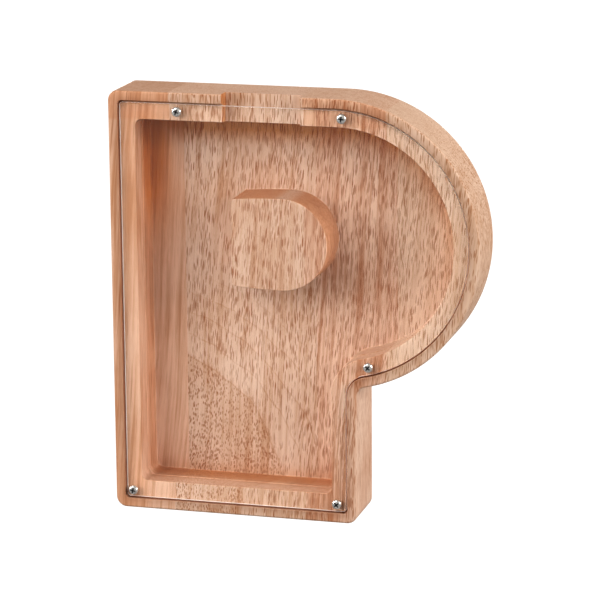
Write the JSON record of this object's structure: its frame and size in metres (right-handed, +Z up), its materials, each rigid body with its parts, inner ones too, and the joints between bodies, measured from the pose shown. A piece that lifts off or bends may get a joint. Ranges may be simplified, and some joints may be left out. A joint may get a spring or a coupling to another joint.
{
  "type": "wooden money box",
  "caption": "Letter-shaped wooden money box with a milled coin pocket, a coin notch in its top edge and a clear screwed-on front cover.",
  "frame": {"origin": "middle of the stem's flat foot face, midway between the front and the back", "axes": "+Z up along the letter's height, the clear front faces -Y, +X to the right seen from the front"},
  "size_m": [0.184, 0.0321, 0.21],
  "materials": {
    "wood_smooth": "satin, straight fine grain",
    "wood_brown": "satin, open pores",
    "wood_red": "satin, open pores",
    "wood_tan": "satin, open pores",
    "clear_acrylic": "clear, polished",
    "nickel": "bright nickel plate"
  },
  "bodies": {
    "box": {"stave_1": "wood_smooth", "stave_2": "wood_brown", "stave_3": "wood_red", "stave_4": "wood_tan"},
    "cover": {"cover": "clear_acrylic"},
    "screw_top_left": {"cover_screw_top_left": "nickel"},
    "screw_top_right": {"cover_screw_top_right": "nickel"},
    "screw_bowl": {"cover_screw_bowl": "nickel"},
    "screw_foot_left": {"cover_screw_foot_left": "nickel"},
    "screw_foot_right": {"cover_screw_foot_right": "nickel"}
  },
  "joints": [
    {"name": "cover_lift_off", "type": "slide", "parent": "box", "child": "cover", "axis": [0, -1, 0], "range_m": [0, 0.05]},
    {"name": "screw_top_left_out", "type": "slide", "parent": "cover", "child": "screw_top_left", "axis": [0, -1, 0], "range_m": [0, 0.014]},
    {"name": "screw_top_right_out", "type": "slide", "parent": "cover", "child": "screw_top_right", "axis": [0, -1, 0], "range_m": [0, 0.014]},
    {"name": "screw_bowl_out", "type": "slide", "parent": "cover", "child": "screw_bowl", "axis": [0, -1, 0], "range_m": [0, 0.014]},
    {"name": "screw_foot_left_out", "type": "slide", "parent": "cover", "child": "screw_foot_left", "axis": [0, -1, 0], "range_m": [0, 0.014]},
    {"name": "screw_foot_right_out", "type": "slide", "parent": "cover", "child": "screw_foot_right", "axis": [0, -1, 0], "range_m": [0, 0.014]}
  ]
}
